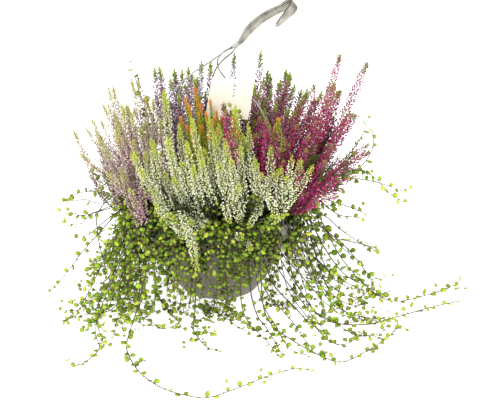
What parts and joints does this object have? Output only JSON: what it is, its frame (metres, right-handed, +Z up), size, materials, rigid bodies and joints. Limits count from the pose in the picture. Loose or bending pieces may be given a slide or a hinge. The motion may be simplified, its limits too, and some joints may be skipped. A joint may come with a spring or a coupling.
{
  "type": "heather hanging basket",
  "caption": "Tapered hanging pot planted with mixed flowering heathers and trailing wire vine, with a hooked three-strand hanger and a card tag.",
  "frame": {"origin": "centre of the pot's flat underside, on the surface that the basket stands on", "axes": "+Z up, -Y the side that faces the viewer, +X to the viewer's right, where the longest stems trail"},
  "size_m": [0.6148, 0.5835, 0.4336],
  "materials": {
    "pot_plastic": "matt taupe-grey moulded plastic",
    "compost": "loose dark bark compost",
    "hanger_plastic": "satin silver-grey moulded plastic, slightly translucent",
    "clip_plastic": "satin grey moulded plastic",
    "tag_card": "smooth cream card, blank",
    "white_flowers": "cream-white heather florets on green shoots",
    "mauve_flowers": "pale mauve-pink heather florets",
    "lilac_flowers": "lilac heather florets with green tips",
    "rose_flowers": "dusty rose heather florets with green tips",
    "magenta_flowers": "bright magenta heather florets",
    "orange_foliage": "orange to lime heather foliage",
    "vine_leaves": "small round fresh green leaves",
    "vine_stems": "thin dark wiry stems"
  },
  "bodies": {
    "root": {"pot": "pot_plastic", "soil": "compost", "hanger_hook": "hanger_plastic", "hanger_strand_left": "hanger_plastic", "hanger_strand_right": "hanger_plastic", "hanger_strand_back": "hanger_plastic", "rim_clip_left": "clip_plastic", "rim_clip_right": "clip_plastic", "rim_clip_back": "clip_plastic", "plant_tag": "tag_card", "heather_white": "white_flowers", "heather_mauve": "mauve_flowers", "heather_lilac": "lilac_flowers", "heather_rose": "rose_flowers", "heather_magenta": "magenta_flowers", "heather_orange": "orange_foliage", "wire_vine_right": "vine_leaves", "wire_vine_back_right": "vine_leaves", "wire_vine_back_left": "vine_leaves", "wire_vine_left": "vine_leaves", "wire_vine_front_left": "vine_leaves", "wire_vine_front": "vine_leaves", "stem_front_long": "vine_stems", "stem_front_right": "vine_stems", "stem_right_low": "vine_stems", "stem_right_long": "vine_stems", "stem_right_arc": "vine_stems", "stem_right_raised": "vine_stems", "stem_left_stiff": "vine_stems", "stem_left_front": "vine_stems", "stem_left_low": "vine_stems", "stem_front_short": "vine_stems", "stem_front_fork": "vine_stems", "stem_back_right": "vine_stems", "stem_back": "vine_stems", "stem_back_left": "vine_stems"}
  },
  "joints": []
}
